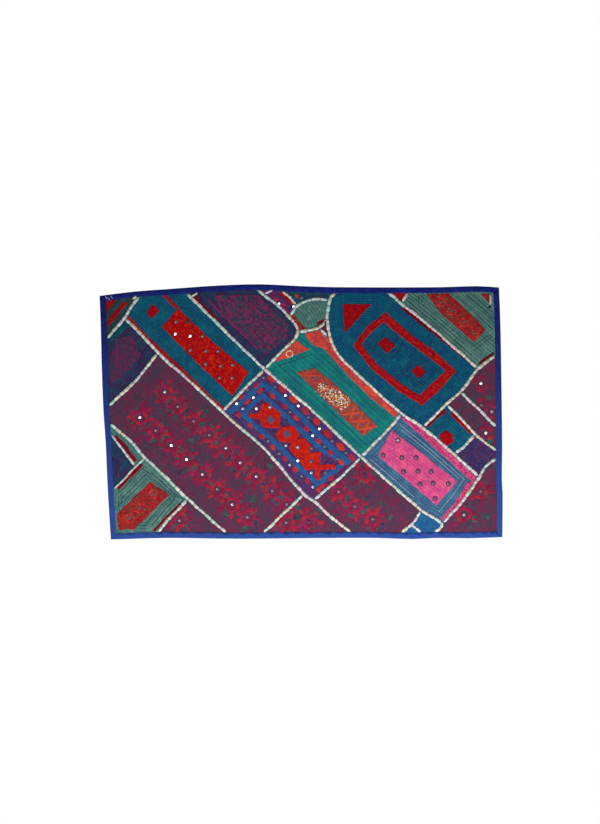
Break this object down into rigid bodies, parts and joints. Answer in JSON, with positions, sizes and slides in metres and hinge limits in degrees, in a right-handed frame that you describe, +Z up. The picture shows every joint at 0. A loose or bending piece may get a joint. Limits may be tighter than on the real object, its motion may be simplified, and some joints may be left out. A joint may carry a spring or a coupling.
{
  "type": "patchwork wall hanging",
  "caption": "Wide cloth wall hanging of pieced slanting patches, with a folded binding round its edge and pale braids sewn over the seams.",
  "frame": {"origin": "the middle of the hanging's top edge, where the wall holds it", "axes": "+X along the top edge to the viewer's right, -Y out of the patchwork's front, +Z up"},
  "size_m": [1.532, 0.0189, 0.97],
  "materials": {
    "cloth_dark_green": "quilted cotton",
    "cloth_plum": "quilted cotton",
    "cloth_teal": "quilted satin",
    "cloth_dark_teal": "quilted satin",
    "cloth_blue": "embroidered cotton",
    "cloth_sage": "quilted cotton",
    "cloth_maroon": "cotton",
    "cloth_emerald": "quilted satin",
    "cloth_red": "cotton",
    "cloth_burgundy": "ribbed, embroidered cotton",
    "cloth_navy": "cotton",
    "cloth_slate": "embroidered cotton",
    "cloth_binding": "plain cotton",
    "braid_pale": "twisted cotton braid"
  },
  "bodies": {
    "root": {"patch_corner_upper_left": "cloth_dark_green", "patch_upper_left": "cloth_plum", "patch_teal_long": "cloth_teal", "patch_plum_long": "cloth_plum", "patch_blue_sliver": "cloth_blue", "patch_top_triangle": "cloth_dark_teal", "patch_sage_small": "cloth_sage", "patch_maroon_triangle": "cloth_maroon", "patch_emerald": "cloth_emerald", "patch_petrol": "cloth_dark_teal", "patch_red_triangle": "cloth_red", "patch_sage_right": "cloth_sage", "patch_burgundy_right_upper": "cloth_burgundy", "patch_burgundy_right": "cloth_burgundy", "patch_teal_diamond": "cloth_teal", "patch_navy_small": "cloth_navy", "patch_pink_centre": "cloth_slate", "patch_blue_pot": "cloth_blue", "patch_corner_lower_right": "cloth_burgundy", "patch_burgundy_low_middle": "cloth_burgundy", "patch_blue_mirrored": "cloth_blue", "patch_burgundy_low": "cloth_burgundy", "patch_burgundy_big": "cloth_burgundy", "patch_sage_sliver": "cloth_sage", "patch_left_small": "cloth_plum", "patch_corner_lower_left": "cloth_sage", "patch_burgundy_triangle": "cloth_burgundy", "binding_top": "cloth_binding", "binding_right": "cloth_binding", "binding_bottom": "cloth_binding", "binding_left": "cloth_binding", "braid_a": "braid_pale", "braid_b": "braid_pale", "braid_c": "braid_pale", "braid_d": "braid_pale", "braid_e": "braid_pale", "braid_f": "braid_pale", "braid_f_low": "braid_pale", "braid_g": "braid_pale", "braid_h": "braid_pale", "braid_i": "braid_pale", "braid_j": "braid_pale", "braid_k": "braid_pale", "braid_l": "braid_pale", "braid_m": "braid_pale", "braid_n": "braid_pale", "braid_o": "braid_pale", "braid_p": "braid_pale", "braid_q": "braid_pale", "braid_r": "braid_pale", "braid_s": "braid_pale", "braid_t": "braid_pale", "braid_u": "braid_pale", "braid_v": "braid_pale", "braid_w": "braid_pale", "braid_x": "braid_pale", "braid_y": "braid_pale", "braid_corner": "braid_pale"}
  },
  "joints": []
}
